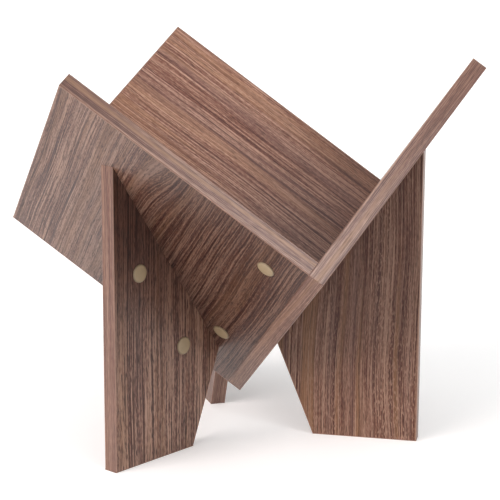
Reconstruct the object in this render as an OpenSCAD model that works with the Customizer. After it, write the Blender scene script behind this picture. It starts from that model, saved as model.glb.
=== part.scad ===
// Magazine rack: three square boards meet as the corner of a cube that stands on its point.
// Three equal upright legs, a third of a turn apart, carry the boards along their middle lines.

/* [Boards] */
// Side of the cube corner, measured along its outer faces
board_side = 300; // [280:5:340]
// Thickness of the boards and the legs
board_thickness = 16; // [16:1:19]
// Thickness of the band glued to each exposed edge
band_thickness = 1; // [0.5:0.5:2]

/* [Legs] */
// Height of the lowest corner of the boards above the floor
corner_height = 39; // [25:1:60]
// Distance from the centre line to a leg's outer edge
leg_reach = 187; // [180:1:200]
// Distance from the centre line to the inner end of a leg's foot
foot_inner = 79; // [50:1:110]
// Distance from the centre line to the inner end of a leg's seat under its board
seat_inner = 40.5; // [36:0.5:44]

/* [Cam locks] */
// Diameter of the pocket bored for a cam lock
pocket_diameter = 15; // [15:0.5:18]
// Depth of that pocket
pocket_depth = 13; // [12:0.5:14]
// Distance from the end of a panel to the centre of its cam pockets
pocket_setback = 35; // [34:1:36]
// Play left around a cam lock in its pocket
cam_play = 0.1; // [0.05:0.05:0.2]
// Diameter of the bore that takes a connecting bolt's shank
shank_bore = 8; // [8:0.5:9]
// Diameter of the pilot hole for a connecting bolt's thread
pilot_diameter = 5; // [5:0.5:6]
// Length of a connecting bolt's thread
thread_length = 11; // [9:1:11]

/* [Cover caps] */
// Diameter of a cover cap
cap_diameter = 18; // [17:0.5:20]
// Height of a cap's dome above the panel
cap_rise = 1.6; // [1:0.2:2.4]
// Thickness of a cap at its rim
cap_rim = 0.6; // [0.4:0.1:0.8]

/* [Dowels] */
// Diameter of a dowel's bore
dowel_bore = 8; // [6:1:8]
// Depth of a dowel in the end of a panel
dowel_in_end = 20; // [15:1:22]
// Depth of a dowel in the face of a panel
dowel_in_face = 10; // [8:1:11]

/* [Places along the joints] */
// Distance from the cube corner to the nearer cam lock of a board
near_cam = 88; // [80:1:96]
// Distance from the cube corner to the farther cam lock of a board
far_cam = 258; // [230:1:265]
// Distance from each cam lock of a board to the dowel beside it
dowel_step = 32; // [24:1:40]
// Distance from the cube corner to a leg's first cam lock
leg_first = 111; // [106:1:112]
// Spacing of a leg's cam locks and dowels along its seat
leg_step = 52; // [48:1:56]

/* [Hidden] */

$fn = 48;

// A cube's face rises at this angle when the cube stands on its point
face_slope = atan(sqrt(2));
corner_tilt = 90 - face_slope;

// Directions of the legs round the upright centre line, with the front at 270
left_azimuth = 210;
right_azimuth = 330;
rear_azimuth = 90;

middle = board_thickness / 2;
seat_rise = tan(face_slope);
leg_top = corner_height + leg_reach * seat_rise;
seat_low = corner_height + seat_inner * seat_rise;

// Places of the fittings along a joint, counted from the cube corner
board_cams = [near_cam, far_cam];
board_dowels = [near_cam + dowel_step, far_cam - dowel_step];
leg_cams = [leg_first, leg_first + 2 * leg_step];
leg_dowels = [leg_first + leg_step, leg_first + 3 * leg_step];

// How far a cut runs past the face that it opens in
overcut = 1;

// Cam lock
cam_diameter = pocket_diameter - 2 * cam_play;
cam_sink = 0.5;
cam_height = pocket_depth - cam_sink;
driver_slot_length = 7;
driver_slot_width = 1.4;
driver_slot_depth = 3;
claw_gap = 8.2;
claw_height = 7.6;
claw_room = 1;

// Connecting bolt
shank_diameter = 6;
collar_diameter = 7.6;
collar_length = 1.6;
neck_diameter = 4;
neck_length = 5;
head_diameter = 7;
head_length = 3;
thread_core = 3.8;
thread_teeth = 4;

// Cover cap
cap_radius = cap_diameter / 2;
cap_crown = cap_rise - cap_rim;
cap_sphere = (cap_radius * cap_radius + cap_crown * cap_crown) / (2 * cap_crown);
dome_steps = 8;
peg_width = 1.2;
peg_length = 2.6;

// Dowel
dowel_play = 0.1;
dowel_chamfer = 1;
dowel_flutes = 8;
flute_diameter = 1;
hole_spare = 0.5;

board_colour = "#6e5647";
band_colour = "#8a7263";
cap_colour = "#a58e6c";
zinc_colour = "#a9abad";
steel_colour = "#c4c6c8";
beech_colour = "#d0a878";

// ---- placing frames ----

// The cube corner: X along the lower left edge, Y along the front edge, Z along the right edge
module in_corner() {
    translate([0, 0, corner_height])
        rotate([45, -corner_tilt, 150])
        children();
}

// A leg's plane: X outwards from the centre line, Y up from the floor, Z away from the cam face
module in_leg_plane(azimuth) {
    rotate([90, 0, azimuth])
        children();
}

// A joint: X along it from the cube corner, Y into the board that takes the bolts,
// Z from the cam face into the panel that holds the cam locks
module in_left_to_right_joint() {
    in_corner()
        translate([board_thickness, 0, 0])
        rotate([0, 0, 90])
        children();
}

module in_back_to_left_joint() {
    in_corner()
        translate([0, 0, board_thickness])
        rotate([-90, 0, 0])
        children();
}

// The back board's other joint is the same one seen across the plane between its two edges
module in_back_to_right_joint() {
    in_corner()
        mirror([1, 0, -1])
        translate([0, 0, board_thickness])
        rotate([-90, 0, 0])
        children();
}

module in_leg_joint(azimuth) {
    in_leg_plane(azimuth)
        translate([0, corner_height, -middle])
        rotate([0, 0, face_slope])
        children();
}

// ---- bores ----

// A round bar or bore along Y
module along_joint(x, from, to, diameter) {
    translate([x, to, middle])
        rotate([90, 0, 0])
        cylinder(h = to - from, d = diameter);
}

// Bores in the panel that holds the cam locks, entered from its end
module end_bores(cams, dowels) {
    for (x = cams) {
        translate([x, -pocket_setback, -overcut])
            cylinder(h = pocket_depth + overcut, d = pocket_diameter);
        along_joint(x, -pocket_setback, overcut, shank_bore);
    }
    for (x = dowels)
        along_joint(x, -dowel_in_end - hole_spare, overcut, dowel_bore);
}

// Bores in the face of the board that takes the bolts
module face_bores(cams, dowels) {
    for (x = cams)
        along_joint(x, -overcut, thread_length + hole_spare, pilot_diameter);
    for (x = dowels)
        along_joint(x, -overcut, dowel_in_face + hole_spare, dowel_bore);
}

// ---- fittings ----

// The claw that holds the bolt's head opens towards the joint, and a cross slot takes the driver
module cam_lock() {
    difference() {
        translate([0, 0, cam_sink])
            cylinder(h = cam_height, d = cam_diameter);
        translate([-claw_gap / 2, -head_length - claw_room, middle - claw_height / 2])
            cube([claw_gap, pocket_diameter, claw_height]);
        for (turn = [0, 90])
            rotate([0, 0, turn])
            translate([-driver_slot_length / 2, -driver_slot_width / 2, 0])
            cube([driver_slot_length, driver_slot_width, driver_slot_depth]);
    }
}

module cam_locks(cams) {
    color(zinc_colour)
        for (x = cams)
            translate([x, -pocket_setback, 0])
            cam_lock();
}

// Half outline of the thread: one tooth after another, with the point at the far end
function thread_outline() = [
    for (i = [0 : thread_teeth - 1])
        for (step = [[0, thread_core], [0.5, pilot_diameter]])
            [step[1] / 2, (i + step[0]) * thread_length / thread_teeth]
];

module bolt_thread() {
    rotate_extrude()
        polygon(concat([[0, 0]], thread_outline(), [[0, thread_length]]));
}

module connecting_bolt() {
    neck_start = -pocket_setback + neck_length;
    along_joint(0, -pocket_setback - head_length, -pocket_setback, head_diameter);
    along_joint(0, -pocket_setback, neck_start, neck_diameter);
    along_joint(0, neck_start, -collar_length, shank_diameter);
    along_joint(0, -collar_length, 0, collar_diameter);
    translate([0, 0, middle])
        rotate([-90, 0, 0])
        bolt_thread();
}

module connecting_bolts(cams) {
    color(steel_colour)
        for (x = cams)
            translate([x, 0, 0])
            connecting_bolt();
}

// Height of the dome's surface above its rim, at a distance from its centre
function dome(radius) = sqrt(cap_sphere * cap_sphere - radius * radius) - cap_sphere + cap_crown;

// A shallow dome with a straight rim, and crossed pegs that press into the driver slot
module cover_cap() {
    arc = [
        for (i = [0 : dome_steps])
            let (radius = cap_radius * (1 - i / dome_steps))
                [radius, cap_rim + dome(radius)]
    ];
    mirror([0, 0, 1])
        rotate_extrude()
        polygon(concat([[0, 0], [cap_radius, 0]], arc));
    for (turn = [0, 90])
        rotate([0, 0, turn])
        translate([-peg_length, -peg_width / 2, 0])
        cube([2 * peg_length, peg_width, driver_slot_depth - peg_width / 2]);
}

module cover_caps(cams) {
    color(cap_colour)
        for (x = cams)
            translate([x, -pocket_setback, 0])
            cover_cap();
}

module dowel() {
    length = dowel_in_end + dowel_in_face;
    radius = dowel_bore / 2 - dowel_play;
    tip = radius - dowel_chamfer;
    outline = [
        [0, 0], [tip, 0], [radius, dowel_chamfer],
        [radius, length - dowel_chamfer], [tip, length], [0, length]
    ];
    difference() {
        rotate_extrude()
            polygon(outline);
        for (i = [1 : dowel_flutes])
            rotate([0, 0, i * 360 / dowel_flutes])
            translate([radius, 0, -overcut])
            cylinder(h = length + 2 * overcut, d = flute_diameter, $fn = 16);
    }
}

module dowels(places) {
    color(beech_colour)
        for (x = places)
            translate([x, dowel_in_face, middle])
            rotate([90, 0, 0])
            dowel();
}

// ---- boards ----

// A block between two opposite corners of a box
module block(low, high) {
    translate(low)
        cube(high - low);
}

module left_board() {
    color(board_colour)
    difference() {
        in_corner()
            block(
                [board_thickness, band_thickness, 0],
                [board_side - band_thickness, board_side - band_thickness, board_thickness]
            );
        in_left_to_right_joint()
            end_bores(board_cams, board_dowels);
        in_back_to_left_joint()
            face_bores(board_cams, board_dowels);
        in_leg_joint(left_azimuth)
            face_bores(leg_cams, leg_dowels);
    }
}

module right_board() {
    color(board_colour)
    difference() {
        in_corner()
            block(
                [0, band_thickness, band_thickness],
                [board_thickness, board_side - band_thickness, board_side - band_thickness]
            );
        in_left_to_right_joint()
            face_bores(board_cams, board_dowels);
        in_back_to_right_joint()
            face_bores(board_cams, board_dowels);
        in_leg_joint(right_azimuth)
            face_bores(leg_cams, leg_dowels);
    }
}

module back_board() {
    color(board_colour)
    difference() {
        in_corner()
            block(
                [board_thickness, 0, board_thickness],
                [board_side - band_thickness, board_thickness, board_side - band_thickness]
            );
        in_back_to_left_joint()
            end_bores(board_cams, board_dowels);
        in_back_to_right_joint()
            end_bores(board_cams, board_dowels);
        in_leg_joint(rear_azimuth)
            face_bores(leg_cams, leg_dowels);
    }
}

// ---- edge bands of the boards ----

module band(low, high) {
    color(band_colour)
        in_corner()
        block(low, high);
}

module left_board_front_band() {
    band(
        [board_thickness, board_side - band_thickness, 0],
        [board_side, board_side, board_thickness]
    );
}

module left_board_side_band() {
    band(
        [board_side - band_thickness, band_thickness, 0],
        [board_side, board_side - band_thickness, board_thickness]
    );
}

module left_board_rear_band() {
    band(
        [board_thickness, 0, 0],
        [board_side, band_thickness, board_thickness]
    );
}

module right_board_front_band() {
    band(
        [0, board_side - band_thickness, 0],
        [board_thickness, board_side, board_side]
    );
}

module right_board_top_band() {
    band(
        [0, band_thickness, board_side - band_thickness],
        [board_thickness, board_side - band_thickness, board_side]
    );
}

module right_board_bottom_band() {
    band(
        [0, band_thickness, 0],
        [board_thickness, board_side - band_thickness, band_thickness]
    );
}

module right_board_rear_band() {
    band(
        [0, 0, 0],
        [board_thickness, band_thickness, board_side]
    );
}

module back_board_side_band() {
    band(
        [board_side - band_thickness, 0, board_thickness],
        [board_side, board_thickness, board_side]
    );
}

module back_board_top_band() {
    band(
        [board_thickness, 0, board_side - band_thickness],
        [board_side - band_thickness, board_thickness, board_side]
    );
}

// ---- legs ----

// Slant of the inner edge, as the distance it moves inwards for each unit of height
inner_slant = (foot_inner - seat_inner) / seat_low;
// Width of the inner band measured level
inner_band_level = band_thickness * sqrt(1 + inner_slant * inner_slant);

function inner_edge(height) = foot_inner - inner_slant * height;

// Where the slanted edge, moved outwards by the band, meets the board
seat_core = seat_inner + inner_band_level / (1 + inner_slant * seat_rise);

module leg_plate(outline) {
    linear_extrude(board_thickness, center = true)
        polygon(outline);
}

module leg(azimuth) {
    core_outer = leg_reach - band_thickness;
    color(board_colour)
    difference() {
        in_leg_plane(azimuth)
            leg_plate([
                [inner_edge(band_thickness) + inner_band_level, band_thickness],
                [core_outer, band_thickness],
                [core_outer, corner_height + core_outer * seat_rise],
                [seat_core, corner_height + seat_core * seat_rise]
            ]);
        in_leg_joint(azimuth)
            end_bores(leg_cams, leg_dowels);
    }
}

module leg_outer_band(azimuth) {
    inside = leg_reach - band_thickness;
    color(band_colour)
        in_leg_plane(azimuth)
        leg_plate([
            [inside, band_thickness],
            [leg_reach, band_thickness],
            [leg_reach, leg_top],
            [inside, corner_height + inside * seat_rise]
        ]);
}

module leg_inner_band(azimuth) {
    color(band_colour)
        in_leg_plane(azimuth)
        leg_plate([
            [inner_edge(band_thickness), band_thickness],
            [inner_edge(band_thickness) + inner_band_level, band_thickness],
            [seat_core, corner_height + seat_core * seat_rise],
            [seat_inner, seat_low]
        ]);
}

module leg_foot_band(azimuth) {
    color(band_colour)
        in_leg_plane(azimuth)
        leg_plate([
            [foot_inner, 0],
            [leg_reach, 0],
            [leg_reach, band_thickness],
            [inner_edge(band_thickness), band_thickness]
        ]);
}

// ---- the assembly ----

left_board();
right_board();
back_board();

left_board_front_band();
left_board_side_band();
left_board_rear_band();
right_board_front_band();
right_board_top_band();
right_board_bottom_band();
right_board_rear_band();
back_board_side_band();
back_board_top_band();

leg(left_azimuth);  // front_left_leg
leg(right_azimuth);  // front_right_leg
leg(rear_azimuth);  // rear_leg

leg_outer_band(left_azimuth);  // front_left_leg_outer_band
leg_inner_band(left_azimuth);  // front_left_leg_inner_band
leg_foot_band(left_azimuth);  // front_left_leg_foot_band
leg_outer_band(right_azimuth);  // front_right_leg_outer_band
leg_inner_band(right_azimuth);  // front_right_leg_inner_band
leg_foot_band(right_azimuth);  // front_right_leg_foot_band
leg_outer_band(rear_azimuth);  // rear_leg_outer_band
leg_inner_band(rear_azimuth);  // rear_leg_inner_band
leg_foot_band(rear_azimuth);  // rear_leg_foot_band

in_left_to_right_joint() cam_locks(board_cams);  // left_to_right_cam_locks
in_left_to_right_joint() connecting_bolts(board_cams);  // left_to_right_bolts
in_left_to_right_joint() cover_caps(board_cams);  // left_to_right_cover_caps
in_left_to_right_joint() dowels(board_dowels);  // left_to_right_dowels

in_back_to_left_joint() cam_locks(board_cams);  // back_to_left_cam_locks
in_back_to_left_joint() connecting_bolts(board_cams);  // back_to_left_bolts
in_back_to_left_joint() cover_caps(board_cams);  // back_to_left_cover_caps
in_back_to_left_joint() dowels(board_dowels);  // back_to_left_dowels

in_back_to_right_joint() cam_locks(board_cams);  // back_to_right_cam_locks
in_back_to_right_joint() connecting_bolts(board_cams);  // back_to_right_bolts
in_back_to_right_joint() cover_caps(board_cams);  // back_to_right_cover_caps
in_back_to_right_joint() dowels(board_dowels);  // back_to_right_dowels

in_leg_joint(left_azimuth) cam_locks(leg_cams);  // front_left_leg_cam_locks
in_leg_joint(left_azimuth) connecting_bolts(leg_cams);  // front_left_leg_bolts
in_leg_joint(left_azimuth) cover_caps(leg_cams);  // front_left_leg_cover_caps
in_leg_joint(left_azimuth) dowels(leg_dowels);  // front_left_leg_dowels

in_leg_joint(right_azimuth) cam_locks(leg_cams);  // front_right_leg_cam_locks
in_leg_joint(right_azimuth) connecting_bolts(leg_cams);  // front_right_leg_bolts
in_leg_joint(right_azimuth) cover_caps(leg_cams);  // front_right_leg_cover_caps
in_leg_joint(right_azimuth) dowels(leg_dowels);  // front_right_leg_dowels

in_leg_joint(rear_azimuth) cam_locks(leg_cams);  // rear_leg_cam_locks
in_leg_joint(rear_azimuth) connecting_bolts(leg_cams);  // rear_leg_bolts
in_leg_joint(rear_azimuth) cover_caps(leg_cams);  // rear_leg_cover_caps
in_leg_joint(rear_azimuth) dowels(leg_dowels);  // rear_leg_dowels
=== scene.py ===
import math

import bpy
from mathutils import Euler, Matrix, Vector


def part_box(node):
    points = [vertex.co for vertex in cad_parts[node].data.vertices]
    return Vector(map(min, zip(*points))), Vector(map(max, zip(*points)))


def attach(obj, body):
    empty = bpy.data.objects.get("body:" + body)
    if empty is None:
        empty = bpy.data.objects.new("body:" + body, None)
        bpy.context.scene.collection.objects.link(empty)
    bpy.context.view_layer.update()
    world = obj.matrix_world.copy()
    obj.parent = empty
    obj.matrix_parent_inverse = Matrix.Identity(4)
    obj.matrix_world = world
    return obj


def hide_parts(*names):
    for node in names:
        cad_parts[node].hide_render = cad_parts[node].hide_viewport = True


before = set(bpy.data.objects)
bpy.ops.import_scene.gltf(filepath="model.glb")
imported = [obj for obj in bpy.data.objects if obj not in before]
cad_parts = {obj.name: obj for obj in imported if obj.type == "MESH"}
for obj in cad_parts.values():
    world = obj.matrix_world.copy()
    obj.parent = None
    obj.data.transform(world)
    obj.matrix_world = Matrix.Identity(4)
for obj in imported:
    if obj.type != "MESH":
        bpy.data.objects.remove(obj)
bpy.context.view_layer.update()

# Magazine rack: three square boards meet as the corner of a cube that stands on its point,
# and three upright legs carry them. Boards and legs are walnut-faced chipboard with glued edge
# bands, held by cam locks under beige cover caps.

MM = 0.001
HALF = 0.5

# ---- sizes taken from the frame ----

foot_low, foot_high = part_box("rear_leg_foot_band")
CORNER_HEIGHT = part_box("right_board_rear_band")[0].z
THICKNESS = foot_high.x - foot_low.x

# ---- placing frames ----

LEG_TURNS = {"front_left_leg": 210.0, "front_right_leg": 330.0, "rear_leg": 90.0}
RIGHT_ANGLE = math.pi / 2
FACE_SLOPE = math.atan(math.sqrt(2))
CORNER_ROLL = math.radians(45)
CORNER_TURN = math.radians(150)


def turned(x, y, z):
    """A rotation about X, then Y, then Z, in radians."""
    return Euler((x, y, z)).to_matrix().to_4x4()


def along(place, x, y):
    """A frame at the same origin whose X and Y point along two of the place's directions."""
    x, y = Vector(x), Vector(y)
    return place @ Matrix((x, y, x.cross(y))).transposed().to_4x4()


def through(place):
    """The same frame, moved back by the thickness of a board."""
    return place @ Matrix.Translation((0, 0, -THICKNESS))


# The cube corner: X along the lower left edge, Y along the front edge, Z along the right edge
CORNER = Matrix.Translation((0, 0, CORNER_HEIGHT)) @ turned(
    CORNER_ROLL, FACE_SLOPE - RIGHT_ANGLE, CORNER_TURN)


def leg_plane(leg):
    """X outwards from the centre line, Y up from the floor, Z away from the cam face."""
    return turned(RIGHT_ANGLE, 0, math.radians(LEG_TURNS[leg]))


def leg_face(leg):
    """The same frame on the cam face instead of in the middle of the leg."""
    return leg_plane(leg) @ Matrix.Translation((0, 0, -THICKNESS / 2))


def corners_of(node, place):
    """The corner points of a CAD node, measured in a turned frame."""
    turn = place.inverted()
    return [turn @ v.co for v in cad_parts[node].data.vertices]


def span(node, place):
    """Lowest and highest corner of a CAD node, measured in a turned frame."""
    points = corners_of(node, place)
    return (Vector(min(p[i] for p in points) for i in range(3)),
            Vector(max(p[i] for p in points) for i in range(3)))


# ---- node graphs ----


class Level:
    """A number that varies over a surface. Arithmetic on it adds Math nodes to its graph."""

    def __init__(self, graph, socket):
        self.graph = graph
        self.socket = socket

    def math(self, operation, first, second=0.0, clamp=False):
        settings = {"operation": operation, "use_clamp": clamp}
        return self.graph.level("ShaderNodeMath", settings, {0: first, 1: second})

    def __add__(self, other):
        return self.math("ADD", self, other)

    __radd__ = __add__

    def __sub__(self, other):
        return self.math("SUBTRACT", self, other)

    def __rsub__(self, other):
        return self.math("SUBTRACT", other, self)

    def __mul__(self, other):
        return self.math("MULTIPLY", self, other)

    __rmul__ = __mul__

    def __truediv__(self, other):
        return self.math("DIVIDE", self, other)

    def __rtruediv__(self, other):
        return self.math("DIVIDE", other, self)

    def __pow__(self, other):
        return self.math("POWER", self, other)

    def __abs__(self):
        return self.math("ABSOLUTE", self)

    def clamped(self):
        return self.math("ADD", self, 0.0, clamp=True)

    def ramp(self, low, high):
        """0 up to low, 1 from high on, and a soft step between them."""
        settings = {"interpolation_type": "SMOOTHSTEP", "clamp": True}
        values = {"Value": self, "From Min": low, "From Max": high}
        return self.graph.level("ShaderNodeMapRange", settings, values)


class Graph:
    """A node tree and the one method that adds nodes to it."""

    def __init__(self, tree):
        self.tree = tree

    def node(self, kind, settings=None, values=None):
        """Adds a node: its settings first, then the values or links of its sockets."""
        made = self.tree.nodes.new(kind)
        for key, value in (settings or {}).items():
            if key == "stops":
                self.set_stops(made.color_ramp, value)
            else:
                setattr(made, key, value)
        for key, value in (values or {}).items():
            source = getattr(value, "socket", value)
            if isinstance(source, bpy.types.NodeSocket):
                self.tree.links.new(source, made.inputs[key])
            else:
                made.inputs[key].default_value = source
        return made

    @staticmethod
    def set_stops(ramp, stops):
        while len(ramp.elements) < len(stops):
            ramp.elements.new(HALF)
        for element, (position, colour) in zip(ramp.elements, stops):
            element.position = position
            element.color = (*colour, 1.0)

    def level(self, kind, settings=None, values=None, output=0):
        return Level(self, self.node(kind, settings, values).outputs[output])

    def point(self, x=0.0, y=0.0, z=0.0):
        return self.node("ShaderNodeCombineXYZ", None, {0: x, 1: y, 2: z}).outputs[0]

    def split(self, vector):
        parts = self.node("ShaderNodeSeparateXYZ", None, {0: vector}).outputs
        return [Level(self, part) for part in parts]


class Finish(Graph):
    """One material and the nodes that make it."""

    def __init__(self, name):
        self.material = bpy.data.materials.new(name)
        self.material.use_nodes = True
        super().__init__(self.material.node_tree)
        self.tree.nodes.clear()

    def mix(self, factor, first, second, blend="MIX"):
        """One colour laid over another."""
        settings = {"data_type": "RGBA", "blend_type": blend, "clamp_factor": True}
        first, second = ((*c, 1.0) if isinstance(c, tuple) else c for c in (first, second))
        return self.node("ShaderNodeMix", settings, {0: factor, 6: first, 7: second}).outputs[2]

    def noise(self, x, y, z, detail=1.0):
        """Noise at a point whose coordinates are already in the pattern's own units."""
        values = {"Vector": self.point(x, y, z), "Scale": 1.0, "Detail": detail}
        return self.level("ShaderNodeTexNoise", {"noise_dimensions": "3D"}, values, "Fac")

    def even_noise(self, point, rate, detail):
        """Noise whose lumps are as long one way as the other."""
        return self.noise(*(axis * rate for axis in point), detail=detail)

    def layer(self, x, y, seed, along, across, offset, detail=1.0):
        """One layer of grain: how quickly it changes along and across, and its own offset."""
        return self.noise(x * along, y * across, seed + offset, detail=detail)

    def placed(self, place):
        """Three levels: the object's coordinates measured in a turned frame, in millimetres."""
        source = self.node("ShaderNodeTexCoord").outputs["Object"]
        values = {"Vector": source, "Location": place.to_translation(),
                  "Rotation": place.to_euler(), "Scale": (MM, MM, MM)}
        return self.split(
            self.node("ShaderNodeMapping", {"vector_type": "TEXTURE"}, values).outputs[0])

    def bump(self, height, strength, distance):
        """A normal from a height of about 0 to 1 that stands for a distance in metres."""
        values = {"Strength": strength, "Distance": distance, "Height": height}
        return self.node("ShaderNodeBump", None, values).outputs[0]

    def surface(self, **values):
        """The Principled shader that everything ends in. Underscores stand for spaces."""
        values = {key.replace("_", " "): value for key, value in values.items()}
        shader = self.node("ShaderNodeBsdfPrincipled", None, values).outputs[0]
        self.node("ShaderNodeOutputMaterial", None, {0: shader})
        return self.material


# ---- walnut decor ----

GRAIN_DARK = (0.046, 0.0115, 0.0068)
GRAIN_BROWN = (0.110, 0.0390, 0.0245)
GRAIN_MIDDLE = (0.170, 0.0800, 0.0525)
GRAIN_LIGHT = (0.325, 0.1960, 0.1400)
GRAIN_WARM = (0.225, 0.1130, 0.0560)
GRAIN_GREY = (0.165, 0.1000, 0.0880)
PORE = (0.026, 0.0080, 0.0055)
GRAIN_TINTS = (GRAIN_DARK, GRAIN_BROWN, GRAIN_MIDDLE, GRAIN_LIGHT, GRAIN_WARM, GRAIN_GREY, PORE)
BROWN_FROM = 0.30
MIDDLE_FROM = 0.56

# Painted shade at one end of a panel: there the colour keeps this share of the red, green and blue
PAINTED_SHADE_SHARE = (0.22, 0.14, 0.12)

# How the grain wanders sideways, in millimetres
SWAY = {"along": 0.004, "across": 0.006, "offset": 0.3}
SWAY_REACH = 14.0
WAVER = {"along": 0.020, "across": 0.030, "offset": 1.7}
WAVER_REACH = 1.6
RIPPLE = {"along": 0.26, "across": 0.20, "offset": 2.2}
RIPPLE_REACH = 3.0
FIGURE_FADE = 2.2

# Layers of stripes, from the broadest to the finest, and how much each one counts
BROAD = {"along": 0.0012, "across": 0.035, "offset": 3.1}
BROAD_WEIGHT = 0.30
STREAK = {"along": 0.0020, "across": 0.16, "offset": 5.9}
STREAK_WEIGHT = 0.30
STRIPE = {"along": 0.0035, "across": 0.50, "offset": 8.4}
STRIPE_WEIGHT = 1.50
LINE = {"along": 0.010, "across": 0.85, "offset": 11.6}
LINE_WEIGHT = 2.10
HAIR = {"along": 0.200, "across": 0.95, "offset": 14.2}
HAIR_WEIGHT = 1.1

# Tan and grey streaks over them: where each one sets in and is full
WARM = {"along": 0.002, "across": 0.08, "offset": 17.5}
WARM_STEP = (0.50, 0.68)
GREY = {"along": 0.002, "across": 0.06, "offset": 20.1}
GREY_STEP = (0.52, 0.70)
GREY_SHARE = 0.25

# Pale threads that break off, and dark veins that run through
THREAD = {"along": 0.0016, "across": 0.16, "offset": 33.9}
THREAD_STEP = (0.030, 0.004)
THREAD_BREAK = {"along": 0.012, "across": 0.05, "offset": 36.2}
THREAD_BREAK_STEP = (0.38, 0.58)
THREAD_SHARE = 0.65
VEIN = {"along": 0.0018, "across": 0.21, "offset": 39.4}
VEIN_STEP = (0.030, 0.005)
VEIN_SHARE = 0.35

# Short pale ticks, in zones, and dark pores
TICK_ZONE = {"along": 0.0015, "across": 0.022, "offset": 23.3}
TICK_ZONE_STEP = (0.42, 0.58)
TICK = {"along": 0.19, "across": 0.55, "offset": 25.8}
TICK_STEP = (0.53, 0.66)
PORES = {"along": 0.085, "across": 1.10, "offset": 28.6}
PORES_STEP = (0.56, 0.68)
PORES_SHARE = 0.50

# How far each layer stands out of the surface
STRIPE_RELIEF = 0.4
LINE_RELIEF = 0.5
HAIR_RELIEF = 0.3
PORES_RELIEF = 0.6
VEIN_RELIEF = 0.2


def hill(x, y, centre, reach):
    """A smooth hill, 1 at its centre and falling away over its reach each way."""
    across, up = (x - centre[0]) / reach[0], (y - centre[1]) / reach[1]
    return (across * across + up * up + 1.0) ** -FIGURE_FADE


def walnut(finish, x, y, seed, shade=1.0, fine=1.0, ticks=0.5, contrast=1.0, warmth=0.35,
           painted_shade_end=None, figure=None):
    """Colour, height and pores of walnut decor: x runs along the grain and y across it.
    shade scales its brightness as painted light and shade, fine packs the lines closer, ticks is
    how speckled they are and contrast is how much they stand out. warmth is how tan the tan
    streaks are. The painted shade at one end is given by the direction it lies in, where it
    starts, where it is full and how deep it gets. figure is a centre, a reach and a lift where the
    grain bends."""
    dark, brown, middle, light, warm_tint, grey_tint, pore_tint = (
        tuple(c * shade for c in tint) for tint in GRAIN_TINTS)
    sway = finish.layer(x, y, seed, **SWAY) - HALF
    waver = finish.layer(x, y, seed, **WAVER) - HALF
    bent = y + sway * SWAY_REACH + waver * WAVER_REACH
    if figure:
        mound = hill(x, y, figure["centre"], figure["reach"])
        ripple = finish.layer(x, y, seed, **RIPPLE) - HALF
        bent = bent + mound * figure["lift"] + mound * ripple * RIPPLE_REACH
    bent = bent * fine
    broad = finish.layer(x, bent, seed, **BROAD) - HALF
    streak = finish.layer(x, bent, seed, **STREAK) - HALF
    stripe = finish.layer(x, bent, seed, **STRIPE) - HALF
    line = finish.layer(x, bent, seed, **LINE) - HALF
    hair = finish.layer(x, bent, seed, **HAIR) - HALF
    value = broad * BROAD_WEIGHT + streak * STREAK_WEIGHT + stripe * STRIPE_WEIGHT
    value = value + line * LINE_WEIGHT + hair * HAIR_WEIGHT
    value = (value * contrast + HALF).clamped()
    stops = [(0.0, dark), (BROWN_FROM, brown), (MIDDLE_FROM, middle), (1.0, light)]
    base = finish.node("ShaderNodeValToRGB", {"stops": stops}, {0: value}).outputs[0]
    warm = finish.layer(x, bent, seed, **WARM).ramp(*WARM_STEP)
    grey = finish.layer(x, bent, seed, **GREY).ramp(*GREY_STEP)
    base = finish.mix(warm * warmth, base, warm_tint)
    base = finish.mix(grey * GREY_SHARE, base, grey_tint)
    trace = finish.layer(x, bent, seed, **THREAD) - HALF
    breaks = finish.layer(x, bent, seed, **THREAD_BREAK).ramp(*THREAD_BREAK_STEP)
    threads = abs(trace).ramp(*THREAD_STEP) * breaks
    base = finish.mix(threads * (THREAD_SHARE * contrast), base, light)
    vein = finish.layer(x, bent, seed, **VEIN) - HALF
    veins = abs(vein).ramp(*VEIN_STEP)
    base = finish.mix(veins * (VEIN_SHARE * contrast), base, dark)
    zone = finish.layer(x, y, seed, **TICK_ZONE).ramp(*TICK_ZONE_STEP)
    tick = finish.layer(x, bent, seed, **TICK).ramp(*TICK_STEP)
    base = finish.mix(tick * zone * ticks, base, light)
    pores = finish.layer(x, bent, seed, **PORES).ramp(*PORES_STEP)
    base = finish.mix(pores * (PORES_SHARE * contrast), base, pore_tint)
    # Painted shade: one end of the panel is darkened as if shade fell there
    if painted_shade_end:
        reading = x if painted_shade_end["direction"] == "along" else y
        depth = reading.ramp(painted_shade_end["start"], painted_shade_end["full"])
        base = finish.mix(depth * painted_shade_end["depth"], base, PAINTED_SHADE_SHARE, "MULTIPLY")
    height = stripe * STRIPE_RELIEF + line * LINE_RELIEF + hair * HAIR_RELIEF
    height = height - pores * PORES_RELIEF - veins * VEIN_RELIEF + HALF
    return base, height, pores


CHIP_RATE = 0.5
CHIP_RATE_THROUGH = 1.4
CHIP_PALE = (0.50, 0.36, 0.22)
CHIP_DARK = (0.28, 0.18, 0.10)


def chipboard(finish, x, y, z):
    """Pale pressed chips, seen only where the board is cut or bored."""
    spot = finish.point(x * CHIP_RATE, y * CHIP_RATE, z * CHIP_RATE_THROUGH)
    chips = finish.node("ShaderNodeTexVoronoi", {"feature": "F1"}, {
        "Vector": spot, "Scale": 1.0}).outputs["Color"]
    shade = finish.level("ShaderNodeSeparateColor", None, {0: chips})
    return finish.mix(shade, CHIP_PALE, CHIP_DARK)


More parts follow.
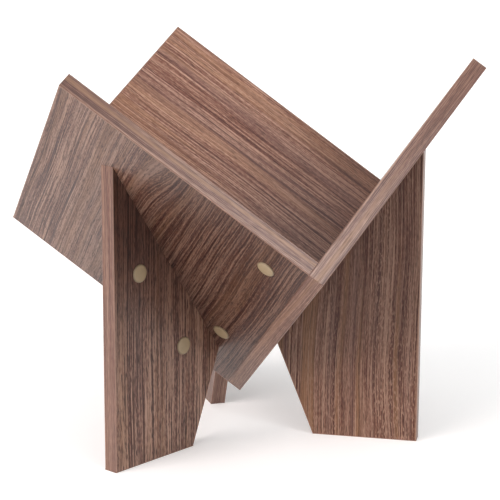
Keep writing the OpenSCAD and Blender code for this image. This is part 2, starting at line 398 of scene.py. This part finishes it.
# Thickness of the decor on a panel and of its blend into the chipboard, in millimetres
DECOR_SKIN = 0.3
DECOR_BLEND = 0.05
SMUDGE = {"along": 0.02, "across": 0.02, "offset": 31.0}
SMUDGE_DETAIL = 3.0
SMUDGE_ROUGHNESS = 0.10
PORES_ROUGHNESS = 0.12
CHIP_ROUGHNESS = 0.75
DECOR_SMOOTHNESS = 0.40
BOARD_RELIEF = 0.30
BOARD_RELIEF_DEPTH = 0.00020


def walnut_board(name, place, seed, gloss=1.5, **look):
    """Decor on both faces of a panel and chipboard between them. place has X along the grain,
    Y across it and Z through the panel from one face at 0 to the other. gloss is the index of
    refraction of the decor's lacquer."""
    finish = Finish(name)
    x, y, z = finish.placed(place)
    colour, height, pores = walnut(finish, x, y, seed, **look)
    middle = THICKNESS / MM / 2
    decor = abs(z - middle).ramp(middle - DECOR_SKIN - DECOR_BLEND, middle - DECOR_SKIN)
    colour = finish.mix(decor, chipboard(finish, x, y, z), colour)
    smudge = finish.layer(x, y, seed, detail=SMUDGE_DETAIL, **SMUDGE) - HALF
    rough = smudge * SMUDGE_ROUGHNESS + pores * PORES_ROUGHNESS
    rough = rough - decor * DECOR_SMOOTHNESS + CHIP_ROUGHNESS
    return finish.surface(Base_Color=colour, Roughness=rough, IOR=gloss,
                          Normal=finish.bump(height, BOARD_RELIEF, BOARD_RELIEF_DEPTH))


BAND_LOOK = {"ticks": 0.1, "fine": 1.5, "contrast": 0.8, "warmth": 0.8}
BAND_STRETCH = 0.6
BAND_EDGE_SHARE = 0.7
BAND_ROUGHNESS = 0.38
BAND_GLOSS = 1.60
BAND_RELIEF = 0.25
BAND_RELIEF_DEPTH = 0.00015

# Width of the rounded edge of a band, in millimetres, how strong the painted highlight on it is
# and how much smoother it is
ARRIS_WIDTH = 0.7
ARRIS_PAINTED_HIGHLIGHT = 0.5
ARRIS_SMOOTHNESS = 0.08


def walnut_band(name, place, seed, shade):
    """The same decor on a glued band, with the grain along it, a painted highlight on its arrises
    and the arrises smoother.
    place has X along the band, Y across the panel's thickness and Z out of its edge."""
    finish = Finish(name)
    x, y, z = finish.placed(place)
    colour, height, pores = walnut(finish, x * BAND_STRETCH, y + z * BAND_EDGE_SHARE, seed,
                                   shade=shade, **BAND_LOOK)
    half = THICKNESS / MM / 2
    arris = abs(y).ramp(half - ARRIS_WIDTH, half)
    # A painted highlight along the rounded arrises
    colour = finish.mix(arris * ARRIS_PAINTED_HIGHLIGHT, colour, GRAIN_LIGHT)
    rough = pores * PORES_ROUGHNESS - arris * ARRIS_SMOOTHNESS + BAND_ROUGHNESS
    return finish.surface(Base_Color=colour, Roughness=rough, IOR=BAND_GLOSS,
                          Normal=finish.bump(height, BAND_RELIEF, BAND_RELIEF_DEPTH))


# ---- finishes of the fittings ----

CAP_PALE = (0.315, 0.240, 0.143)
CAP_DARK = (0.245, 0.180, 0.104)
CAP_SPECK = (0.190, 0.140, 0.085)
# Painted shade in a ring at each cap's rim, where the cap stands proud of the panel: its colour,
# where it starts and is full along the radius, and how deep it gets
CAP_RIM_PAINTED_SHADE = (0.110, 0.080, 0.048)
CAP_RIM_STEP = (0.80, 1.0)
CAP_RIM_DEPTH = 0.60
CAP_SHARE = "share_of_radius"
CAP_CLOUD = {"rate": 0.15, "detail": 3.0}
CAP_SPECKS = {"rate": 2.5, "detail": 2.0}
CAP_SPECK_STEP = (0.60, 0.75)
CAP_SPECK_DEPTH = 0.3
CAP_ROUGHNESS = 0.38
CAP_ROUGHNESS_SPREAD = 0.12
CAP_RELIEF = 0.12
FITTING_RELIEF_DEPTH = 0.0001


def moulded_beige():
    finish = Finish("moulded_beige")
    point = finish.placed(Matrix())
    cloud = finish.even_noise(point, **CAP_CLOUD)
    speck = finish.even_noise(point, **CAP_SPECKS)
    colour = finish.mix(cloud, CAP_DARK, CAP_PALE)
    colour = finish.mix(speck.ramp(*CAP_SPECK_STEP) * CAP_SPECK_DEPTH, colour, CAP_SPECK)
    share = finish.level("ShaderNodeAttribute", {"attribute_name": CAP_SHARE}, output="Fac")
    # Painted shade at the rim of the cap
    colour = finish.mix(share.ramp(*CAP_RIM_STEP) * CAP_RIM_DEPTH, colour, CAP_RIM_PAINTED_SHADE)
    rough = cloud * CAP_ROUGHNESS_SPREAD + CAP_ROUGHNESS
    return finish.surface(Base_Color=colour, Roughness=rough, IOR=1.5,
                          Normal=finish.bump(speck, CAP_RELIEF, FITTING_RELIEF_DEPTH))


METAL_CLOUD = {"rate": 0.4, "detail": 4.0}
METAL_CLOUD_STEP = (0.3, 0.7)
METAL_ROUGHNESS_SPREAD = 0.2
METAL_PIT_DETAIL = 2.0
METAL_RELIEF = 0.2
ZINC = {"light": (0.60, 0.61, 0.62), "dark": (0.42, 0.43, 0.44), "rough": 0.42, "pit_rate": 1.5}
STEEL = {"light": (0.74, 0.75, 0.76), "dark": (0.58, 0.59, 0.60), "rough": 0.22, "pit_rate": 3.0}


def metal(name, light, dark, rough, pit_rate):
    finish = Finish(name)
    point = finish.placed(Matrix())
    cloud = finish.even_noise(point, **METAL_CLOUD)
    pits = finish.even_noise(point, pit_rate, METAL_PIT_DETAIL)
    colour = finish.mix(cloud.ramp(*METAL_CLOUD_STEP), dark, light)
    rough = cloud * METAL_ROUGHNESS_SPREAD + rough
    return finish.surface(Base_Color=colour, Metallic=1.0, Roughness=rough,
                          Normal=finish.bump(pits, METAL_RELIEF, FITTING_RELIEF_DEPTH))


BEECH_DARK = (0.50, 0.33, 0.18)
BEECH_PALE = (0.68, 0.49, 0.30)
BEECH_FLECK = (0.36, 0.21, 0.11)
BEECH_GRAIN_RATE = 0.3
BEECH_GRAIN_RATE_UP = 2.0
BEECH_GRAIN_DETAIL = 3.0
BEECH_FLECK_RATE = 1.2
BEECH_FLECK_RATE_UP = 4.0
BEECH_FLECK_STEP = (0.62, 0.70)
BEECH_FLECK_DEPTH = 0.5
BEECH_RELIEF = 0.3
BEECH_RELIEF_DEPTH = 0.0002


def raw_beech():
    finish = Finish("raw_beech")
    x, y, z = finish.placed(CORNER)
    grain = finish.noise(x * BEECH_GRAIN_RATE, y * BEECH_GRAIN_RATE, z * BEECH_GRAIN_RATE_UP,
                         detail=BEECH_GRAIN_DETAIL)
    flecks = finish.noise(x * BEECH_FLECK_RATE, y * BEECH_FLECK_RATE, z * BEECH_FLECK_RATE_UP)
    colour = finish.mix(grain, BEECH_DARK, BEECH_PALE)
    colour = finish.mix(flecks.ramp(*BEECH_FLECK_STEP) * BEECH_FLECK_DEPTH, colour, BEECH_FLECK)
    return finish.surface(Base_Color=colour, Roughness=0.65,
                          Normal=finish.bump(grain, BEECH_RELIEF, BEECH_RELIEF_DEPTH))


# ---- finished pieces ----


def in_scene(name, data):
    """An object at the origin that the scene shows."""
    made = bpy.data.objects.new(name, data)
    bpy.context.scene.collection.objects.link(made)
    return made


def finished(name, mesh, material):
    """A piece that rides on the rack and stands for the CAD node of the same name."""
    mesh.materials.clear()
    mesh.materials.append(material)
    piece = in_scene(name, mesh)
    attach(piece, "root")
    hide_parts(name)
    return piece


def paint(node, material):
    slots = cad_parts[node].data.materials
    slots.clear()
    slots.append(material)


# ---- edge bands ----

ROUNDING_SEGMENTS = 4
# Corners 2, 3, 6 and 7 of a band lie on its outer face: two edges run along it, two across
LONG_EDGES = ({2, 3}, {6, 7})
END_EDGES = ({2, 6}, {3, 7})
END_SHARE = 0.25
# Brightness of the bands' decor as painted light and shade: bands that face forward are painted
# lighter than those that face sideways or down, and the legs' bands get their own
FRONT_BAND_PAINTED_LIGHTING = 0.95
SIDE_BAND_PAINTED_LIGHTING = 0.90
LEG_BAND_PAINTED_LIGHTING = 0.95
FIRST_BAND_SEED = 40.0
BAND_SEED_STEP = 7.3


def edge_band(name, place, seed, shade):
    """A band with rounded arrises. place has X along it and Z out of the panel's edge."""
    low, high = span(name, place)
    middle = (low.z + high.z) / 2
    points = corners_of(name, place)
    inner = sorted((p.x, p.z) for p in points if p.z < middle)
    outer = sorted((p.x, p.z) for p in points if p.z > middle)
    outline = [inner[0], inner[-1], outer[-1], outer[0]]
    corners = [(x, y, z) for y in (low.y, high.y) for x, z in outline]
    faces = [(0, 1, 2, 3), (7, 6, 5, 4)]
    faces += [(i, 4 + i, 4 + (i + 1) % 4, (i + 1) % 4) for i in range(4)]
    mesh = bpy.data.meshes.new(name)
    mesh.from_pydata(corners, [], faces)
    weights = mesh.attributes.new("bevel_weight_edge", "FLOAT", "EDGE")
    for edge, weight in zip(mesh.edges, weights.data):
        if set(edge.vertices) in LONG_EDGES:
            weight.value = 1.0
        elif set(edge.vertices) in END_EDGES:
            weight.value = END_SHARE
    mesh.transform(place)
    centre = Matrix.Translation(((low.x + high.x) / 2, (low.y + high.y) / 2, high.z))
    piece = finished(name, mesh, walnut_band(name, place @ centre, seed, shade))
    rounding = piece.modifiers.new("arrises", "BEVEL")
    rounding.limit_method = "WEIGHT"
    rounding.width = ARRIS_WIDTH * MM
    rounding.segments = ROUNDING_SEGMENTS


def board_band_places():
    """Each band of the boards: its name, the axis along it and the one out of the edge."""
    x, y, z = Vector((1, 0, 0)), Vector((0, 1, 0)), Vector((0, 0, 1))
    yield "left_board_front_band", x, y
    yield "left_board_side_band", y, x
    yield "left_board_rear_band", x, -y
    yield "right_board_front_band", z, y
    yield "right_board_top_band", y, z
    yield "right_board_bottom_band", y, -z
    yield "right_board_rear_band", z, -y
    yield "back_board_side_band", z, x
    yield "back_board_top_band", x, z


def leg_band_places(leg):
    """Each band of a leg: its name, the direction along it and the one out of the edge."""
    plane = leg_plane(leg)
    foot = span(leg + "_foot_band", plane)[0]
    seat = min(corners_of(leg + "_inner_band", plane), key=lambda p: p.x)
    up = Vector((seat.x - foot.x, seat.y, 0)).normalized()
    yield leg + "_outer_band", Vector((0, 1, 0)), Vector((1, 0, 0))
    yield leg + "_foot_band", Vector((1, 0, 0)), Vector((0, -1, 0))
    yield leg + "_inner_band", up, Vector((-up.y, up.x, 0))


def add_bands():
    seed = FIRST_BAND_SEED
    for name, length, out in board_band_places():
        # Painted light and shade: a band facing forward is painted lighter than one facing
        # sideways or down
        shade = FRONT_BAND_PAINTED_LIGHTING if out.y > 0 else SIDE_BAND_PAINTED_LIGHTING
        edge_band(name, along(CORNER, length, out.cross(length)), seed, shade)
        seed += BAND_SEED_STEP
    for leg in LEG_TURNS:
        for name, length, out in leg_band_places(leg):
            place = along(leg_plane(leg), length, out.cross(length))
            edge_band(name, place, seed, LEG_BAND_PAINTED_LIGHTING)
            seed += BAND_SEED_STEP


# ---- cover caps ----

CAP_SIDES = 64
CAP_RINGS = 14
CAP_RIM_SHARE = 0.4
DOME_FULLNESS = 2.4
DOME_FALL = 0.5
PEG_WIDTH = 1.2 * MM
PEG_REACH = 2.6 * MM


def cover_cap_tree():
    """Turns each point of a mesh into a cover cap on XY, whose dome faces along Z."""
    tree = bpy.data.node_groups.new("cover_cap", "GeometryNodeTree")
    tree.is_modifier = True
    face = tree.interface
    face.new_socket("Geometry", in_out="INPUT", socket_type="NodeSocketGeometry")
    for name in ("Radius", "Rise", "Rim", "Peg Depth", "Peg Width", "Peg Reach"):
        face.new_socket(name, in_out="INPUT", socket_type="NodeSocketFloat")
    face.new_socket("Material", in_out="INPUT", socket_type="NodeSocketMaterial")
    face.new_socket("Geometry", in_out="OUTPUT", socket_type="NodeSocketGeometry")
    graph = Graph(tree)
    given = graph.node("NodeGroupInput").outputs
    radius, rise, rim = (Level(graph, given[n]) for n in ("Radius", "Rise", "Rim"))
    depth, width, reach = (Level(graph, given[n]) for n in ("Peg Depth", "Peg Width", "Peg Reach"))
    disc = graph.node("GeometryNodeMeshCylinder", {"fill_type": "TRIANGLE_FAN"}, {
        "Vertices": CAP_SIDES, "Side Segments": 2, "Fill Segments": CAP_RINGS,
        "Radius": radius, "Depth": 2.0}).outputs["Mesh"]
    x, y, z = graph.split(graph.node("GeometryNodeInputPosition").outputs[0])
    share = (x * x + y * y) ** HALF / radius
    crown = (1.0 - share ** DOME_FULLNESS).clamped() ** DOME_FALL
    height = (z * HALF + HALF) * (rim + crown * (rise - rim))
    domed = graph.node("GeometryNodeSetPosition", None, {
        "Geometry": disc, "Position": graph.point(x, y, height)}).outputs[0]
    smooth = graph.node("GeometryNodeSetShadeSmooth", None, {"Geometry": domed}).outputs[0]
    marked = graph.node("GeometryNodeStoreNamedAttribute", {"domain": "POINT"}, {
        "Geometry": smooth, "Name": CAP_SHARE, "Value": share}).outputs[0]
    join = graph.node("GeometryNodeJoinGeometry", None, {0: marked})
    for size in (graph.point(reach * 2.0, width, depth), graph.point(width, reach * 2.0, depth)):
        peg = graph.node("GeometryNodeMeshCube", None, {"Size": size}).outputs["Mesh"]
        sunk = graph.node("GeometryNodeTransform", None, {
            "Geometry": peg, "Translation": graph.point(z=depth * -HALF)}).outputs[0]
        tree.links.new(sunk, join.inputs[0])
    points = graph.node("GeometryNodeMeshToPoints", None, {"Mesh": given["Geometry"]}).outputs[0]
    copies = graph.node("GeometryNodeInstanceOnPoints", None, {
        "Points": points, "Instance": join.outputs[0]}).outputs[0]
    real = graph.node("GeometryNodeRealizeInstances", None, {0: copies}).outputs[0]
    dressed = graph.node("GeometryNodeSetMaterial", None, {
        "Geometry": real, "Material": given["Material"]}).outputs[0]
    graph.node("NodeGroupOutput", None, {0: dressed})
    return tree


def grown(name, points, tree, inputs):
    """The plain mesh that a geometry tree makes from a few points."""
    seeds = bpy.data.meshes.new(name)
    seeds.from_pydata(points, [], [])
    holder = in_scene(name, seeds)
    change = holder.modifiers.new("grow", "NODES")
    change.node_group = tree
    for socket in tree.interface.items_tree:
        if socket.in_out == "INPUT" and socket.name in inputs:
            change[socket.identifier] = inputs[socket.name]
    graph = bpy.context.evaluated_depsgraph_get()
    mesh = bpy.data.meshes.new_from_object(holder.evaluated_get(graph), depsgraph=graph)
    bpy.data.objects.remove(holder)
    return mesh


def cap_faces():
    """Each set of caps: its name and a frame on the panel's face. X joins the caps' centres and
    Z points out of the panel."""
    yield "left_to_right_cover_caps", along(CORNER, (0, 1, 0), (1, 0, 0))
    yield "back_to_left_cover_caps", along(CORNER, (1, 0, 0), (0, 0, 1))
    yield "back_to_right_cover_caps", along(CORNER, (0, 0, 1), (-1, 0, 0))
    rise, run = math.sin(FACE_SLOPE), math.cos(FACE_SLOPE)
    for leg in LEG_TURNS:
        yield leg + "_cover_caps", along(leg_face(leg), (run, rise, 0), (rise, -run, 0))


def add_caps(material):
    tree = cover_cap_tree()
    for name, place in cap_faces():
        low, high = span(name, place)
        radius = (high.y - low.y) / 2
        middle = (high.y + low.y) / 2
        centres = [(low.x + radius, middle, 0), (high.x - radius, middle, 0)]
        mesh = grown(name, centres, tree, {
            "Radius": radius, "Rise": high.z, "Rim": high.z * CAP_RIM_SHARE,
            "Peg Depth": -low.z, "Peg Width": PEG_WIDTH, "Peg Reach": PEG_REACH,
            "Material": material})
        mesh.transform(place)
        finished(name, mesh, material)


# ---- panels and hidden fittings ----

# The tone of each panel. Each shade is painted light and shade, set by how light falls on that
# panel, and some panels carry painted shade at one end. Set every shade to 1 and leave out the
# painted shade at the ends for one even decor.
PANEL_LOOKS = {
    "left_board": {
        "seed": 3.0, "shade": 0.80, "gloss": 1.50, "fine": 1.30, "ticks": 0.15, "contrast": 1.3,
        "painted_shade_end": {"direction": "across", "start": -265.0, "full": -140.0, "depth": 0.52},
        "figure": {"centre": (305.0, -170.0), "reach": (85.0, 36.0), "lift": -18.0}},
    "right_board": {"seed": 11.0, "shade": 0.95},
    "back_board": {
        "seed": 23.0, "shade": 1.45, "gloss": 1.45, "ticks": 0.10, "contrast": 0.9,
        "warmth": 0.40,
        "painted_shade_end": {"direction": "along", "start": 210.0, "full": -10.0, "depth": 0.70}},
    "front_left_leg": {
        "seed": 31.0, "shade": 1.04, "gloss": 1.45, "ticks": 0.30, "contrast": 1.8,
        "painted_shade_end": {"direction": "along", "start": 20.0, "full": 250.0, "depth": 0.92}},
    "front_right_leg": {
        "seed": 74.0, "shade": 0.88, "gloss": 1.35, "fine": 1.45, "ticks": 0.75, "warmth": 0.7,
        "painted_shade_end": {"direction": "along", "start": 10.0, "full": 150.0, "depth": 0.30}},
    "rear_leg": {"seed": 45.0, "shade": 0.72, "gloss": 1.4},
}


def panel_places():
    """Each panel: its name and a frame with X along its grain and Z through it from a face."""
    yield "left_board", along(CORNER, (0, 1, 0), (-1, 0, 0))
    yield "right_board", through(along(CORNER, (0, 0, 1), (0, 1, 0)))
    yield "back_board", through(along(CORNER, (1, 0, 0), (0, 0, 1)))
    for leg in LEG_TURNS:
        yield leg, along(leg_face(leg), (0, 1, 0), (-1, 0, 0))


def add_panels():
    for name, place in panel_places():
        paint(name, walnut_board(name, place, **PANEL_LOOKS[name]))


def add_fittings():
    coats = {
        "_cam_locks": metal("zinc_casting", **ZINC),
        "_bolts": metal("bright_steel", **STEEL),
        "_dowels": raw_beech(),
    }
    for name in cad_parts:
        for ending, coat in coats.items():
            if name.endswith(ending):
                paint(name, coat)


# ---- camera, floor and light ----

LENS = 130.73
SENSOR = 36.0
AIM = (0.0087, -0.0052, 0.1905)
DISTANCE = 1.8614
HEADING = math.radians(-18.041)
PITCH = math.radians(90 - 13.300)
ROLL = math.radians(0.268)


def camera():
    data = bpy.data.cameras.new("camera")
    data.lens = LENS
    data.sensor_width = SENSOR
    viewer = in_scene("camera", data)
    viewer.matrix_world = (
        Matrix.Translation(AIM) @ Matrix.Rotation(HEADING, 4, "Z")
        @ Matrix.Rotation(PITCH, 4, "X") @ Matrix.Rotation(ROLL, 4, "Z")
        @ Matrix.Translation((0, 0, DISTANCE)))
    bpy.context.scene.camera = viewer


SHEET_SIDES = 64
SHEET_REACH = 8.0
SHEET_CURL = 0.8
SHEET_TOP = 1.4
CURL_STEPS = 6
SHEET_GREY = (0.85, 0.85, 0.85, 1)
FLOOR_GLOW = (0.30, 0.30, 0.30)
SHEET_GLOW = (0.90, 0.90, 0.90)


def floor():
    """A round pale sheet that curls up far away, so that a low view ends in it too."""
    profile = [(SHEET_REACH, SHEET_TOP)]
    for step in range(CURL_STEPS, -1, -1):
        bend = RIGHT_ANGLE * step / CURL_STEPS
        profile.append((SHEET_REACH + SHEET_CURL * (math.sin(bend) - 1),
                        SHEET_CURL * (1 - math.cos(bend))))
    turns = [math.tau * side / SHEET_SIDES for side in range(SHEET_SIDES)]
    points = [(r * math.cos(a), r * math.sin(a), z) for r, z in profile for a in turns]
    faces = [tuple(range(len(points) - SHEET_SIDES, len(points)))]
    for ring in range(len(profile) - 1):
        for side in range(SHEET_SIDES):
            here, beside = (ring * SHEET_SIDES + k % SHEET_SIDES for k in (side, side + 1))
            faces.append((here, beside, beside + SHEET_SIDES, here + SHEET_SIDES))
    mesh = bpy.data.meshes.new("floor")
    mesh.from_pydata(points, [], faces)
    finish = Finish("pale_floor")
    height = finish.placed(Matrix())[2]
    glow = finish.mix(height.ramp(0.0, SHEET_CURL / MM / 2), FLOOR_GLOW, SHEET_GLOW)
    mesh.materials.append(finish.surface(
        Base_Color=SHEET_GREY, Roughness=0.9, Specular_IOR_Level=0.2,
        Emission_Color=glow, Emission_Strength=1.0))
    in_scene("floor", mesh)


def lamp(name, place, aim, size, power):
    """A square lamp, its size in metres and its power in watts."""
    data = bpy.data.lights.new(name, "AREA")
    data.size = size
    data.energy = power
    light = in_scene(name, data)
    light.location = place
    light.rotation_euler = (Vector(aim) - Vector(place)).to_track_quat("-Z", "Y").to_euler()


def broad_light(name, direction, spread, strength, colour=(1.0, 1.0, 1.0)):
    """Light that comes evenly from a wide disc of the sky around a direction."""
    data = bpy.data.lights.new(name, "SUN")
    data.energy = strength
    data.color = colour
    data.angle = math.radians(spread)
    light = in_scene(name, data)
    light.rotation_euler = Vector(direction).to_track_quat("Z", "Y").to_euler()


def studio():
    world = bpy.data.worlds.new("studio")
    world.use_nodes = True
    sky = world.node_tree.nodes["Background"].inputs
    sky["Color"].default_value = (1.0, 1.0, 1.0, 1.0)
    sky["Strength"].default_value = 0.05
    bpy.context.scene.world = world
    bpy.context.scene.view_settings.view_transform = "Standard"
    broad_light("overhead", direction=(-0.20, -0.10, 0.97), spread=90, strength=1.6)
    broad_light("side", direction=(-0.85, -0.31, 0.42), spread=40, strength=2.7,
                colour=(1.0, 0.90, 0.87))
    broad_light("front", direction=(0.20, -0.75, 0.63), spread=40, strength=0.3)
    broad_light("back", direction=(0.0, 0.70, 0.70), spread=60, strength=0.5)
    lamp("softbox", place=(0.25, -0.75, 0.95), aim=(0.0, -0.2, 0.22), size=0.35, power=2.3)


camera()
floor()
studio()
add_panels()
add_bands()
add_caps(moulded_beige())
add_fittings()
